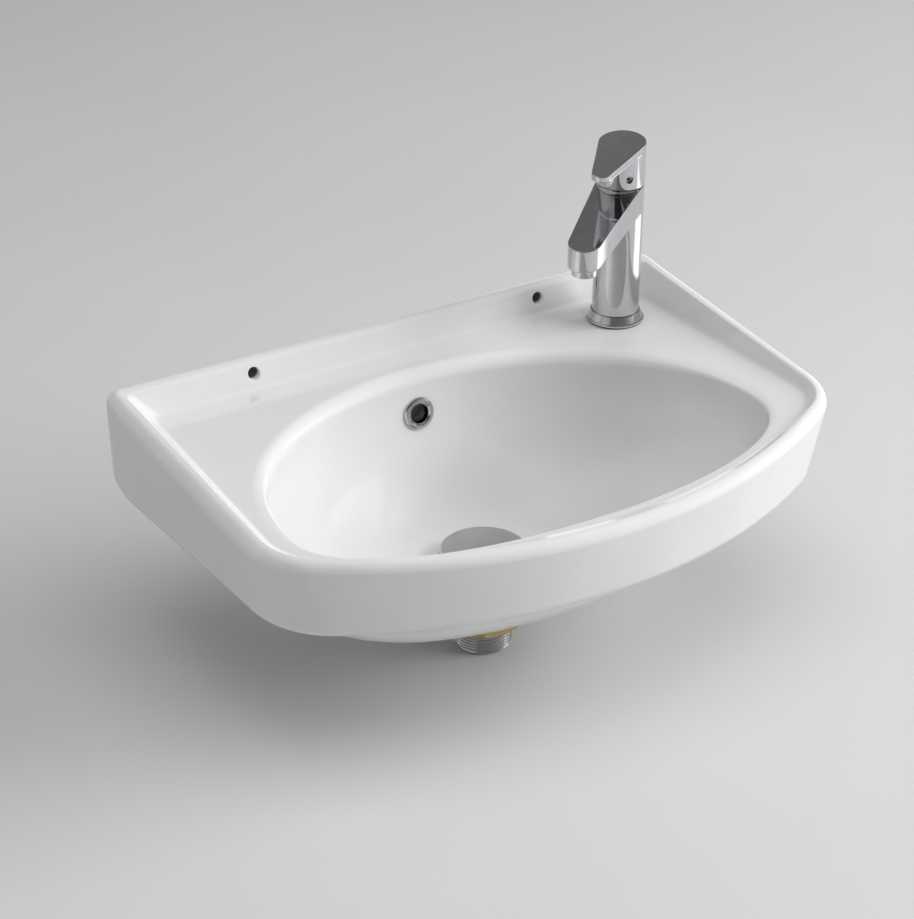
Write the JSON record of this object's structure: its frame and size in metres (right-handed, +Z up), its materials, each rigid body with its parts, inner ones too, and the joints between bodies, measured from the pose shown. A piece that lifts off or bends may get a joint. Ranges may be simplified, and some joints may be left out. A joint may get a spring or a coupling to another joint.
{
  "type": "wall-hung washbasin with tap and waste",
  "caption": "Small white wall-hung washbasin with an oval bowl, a raised rear ledge, a corner lever tap that turns and a push-down waste plug.",
  "frame": {"origin": "midway between the two wall-fixing holes, on the wall plane", "axes": "+X to the right seen from the front, +Y into the wall, +Z up"},
  "size_m": [0.457, 0.3049, 0.3173],
  "materials": {
    "glazed_ceramic": "glossy white glaze",
    "chrome": "polished chrome plate on brass",
    "satin_chrome": "satin chrome plate on brass",
    "steel": "plain stainless steel",
    "brass": "plain machined brass",
    "rubber": "black rubber",
    "plastic": "pale moulded plastic",
    "disc_ceramic": "lapped ceramic"
  },
  "bodies": {
    "fixed": {"basin": "glazed_ceramic", "overflow_ring": "chrome", "tap_body": "chrome", "tap_base_ring": "chrome", "tap_base_gasket": "rubber", "tap_shank": "brass", "tap_fixing_washer": "plastic", "tap_fixing_nut": "brass", "cartridge_seal": "rubber", "cartridge_housing": "brass", "lower_ceramic_disc": "disc_ceramic", "cartridge_gland_nut": "brass", "aerator_housing": "chrome", "aerator_insert": "plastic", "aerator_seal": "rubber", "waste_body": "chrome", "waste_flange_seal": "rubber", "waste_lower_seal": "rubber", "waste_friction_washer": "plastic", "waste_back_nut": "brass", "click_cartridge": "brass"},
    "lever": {"tap_handle": "chrome", "handle_grub_screw": "steel", "cartridge_spindle": "brass", "spindle_o_ring": "rubber", "upper_ceramic_disc": "disc_ceramic"},
    "plug": {"waste_plug": "satin_chrome", "plug_seal": "rubber", "plug_stem": "steel"}
  },
  "joints": [
    {"name": "handle_turn", "type": "hinge", "parent": "fixed", "child": "lever", "pos_m": [0.162, -0.0555, 0.1], "axis": [0, 0, 1], "range_deg": [0, 90]},
    {"name": "plug_slide", "type": "slide", "parent": "fixed", "child": "plug", "axis": [0, 0, 1], "range_m": [-0.0055, 0]}
  ]
}
